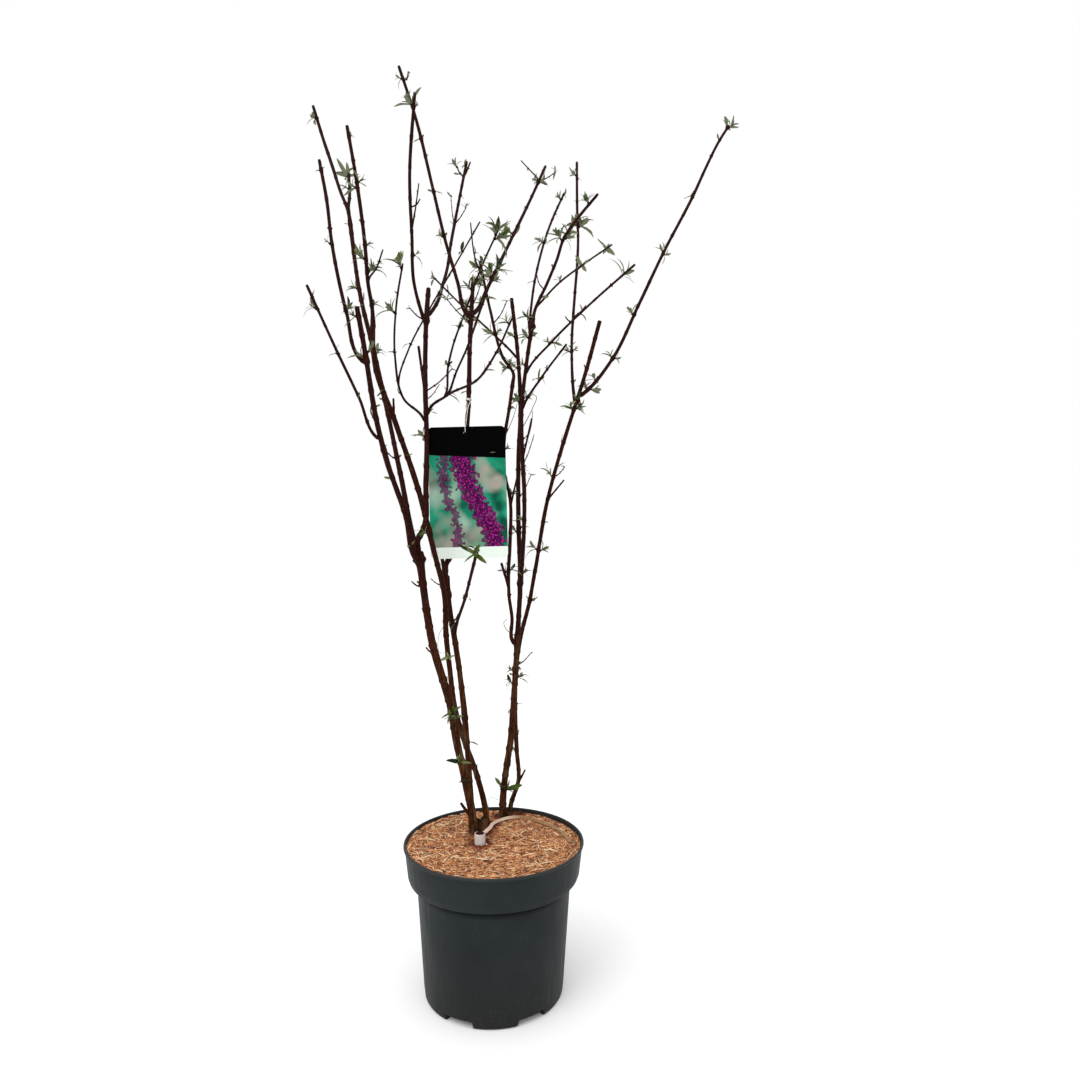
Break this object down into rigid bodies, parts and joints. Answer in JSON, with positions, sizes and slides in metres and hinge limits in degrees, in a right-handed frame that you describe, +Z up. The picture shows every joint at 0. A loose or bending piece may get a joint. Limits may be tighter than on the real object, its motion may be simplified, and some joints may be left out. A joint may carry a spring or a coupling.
{
  "type": "potted butterfly bush",
  "caption": "Young butterfly bush in a plastic nursery pot, with bare old canes, slender shoots, sparse leaf tufts, bark mulch and a wordless picture label.",
  "frame": {"origin": "centre of the pot's flat underside", "axes": "+Z up along the plant; -Y is the front, the side that the picture label faces; +X to the right seen from the front"},
  "size_m": [0.8263, 0.645, 1.6458],
  "materials": {
    "pot": "dark grey moulded plastic, dull",
    "mulch": "shredded red-tan bark, rough",
    "old_bark": "flaky grey-brown bark",
    "young_bark": "smooth dark red-brown bark",
    "foliage": "soft grey-green leaves on red-brown twigs",
    "card": "printed thin card, satin",
    "white_plastic": "white plastic, satin",
    "strap": "milky plastic strap, dusty"
  },
  "bodies": {
    "root": {"pot": "pot", "mulch": "mulch", "left_cane": "old_bark", "middle_cane": "old_bark", "crossing_cane": "old_bark", "right_cane": "old_bark", "thin_cane": "old_bark", "cut_stump": "old_bark", "left_outer_bough": "young_bark", "left_inner_bough": "young_bark", "centre_bough": "young_bark", "label_bough": "young_bark", "right_front_bough": "young_bark", "right_inner_bough": "young_bark", "right_outer_bough": "young_bark", "far_left_shoot": "foliage", "low_left_shoot": "foliage", "upper_left_shoot": "foliage", "crossing_shoot": "foliage", "centre_shoot": "foliage", "back_centre_shoot": "foliage", "front_left_shoot": "foliage", "front_shoot": "foliage", "tallest_shoot": "foliage", "back_right_shoot": "foliage", "label_twig": "foliage", "right_front_shoot": "foliage", "long_back_shoot": "foliage", "right_back_shoot": "foliage", "right_shoot": "foliage", "right_front_twig": "foliage", "short_front_twig": "foliage", "upright_right_shoot": "foliage", "far_right_shoot": "foliage", "label_card": "card", "label_loop": "white_plastic", "base_sleeve": "white_plastic", "strap": "strap"}
  },
  "joints": []
}
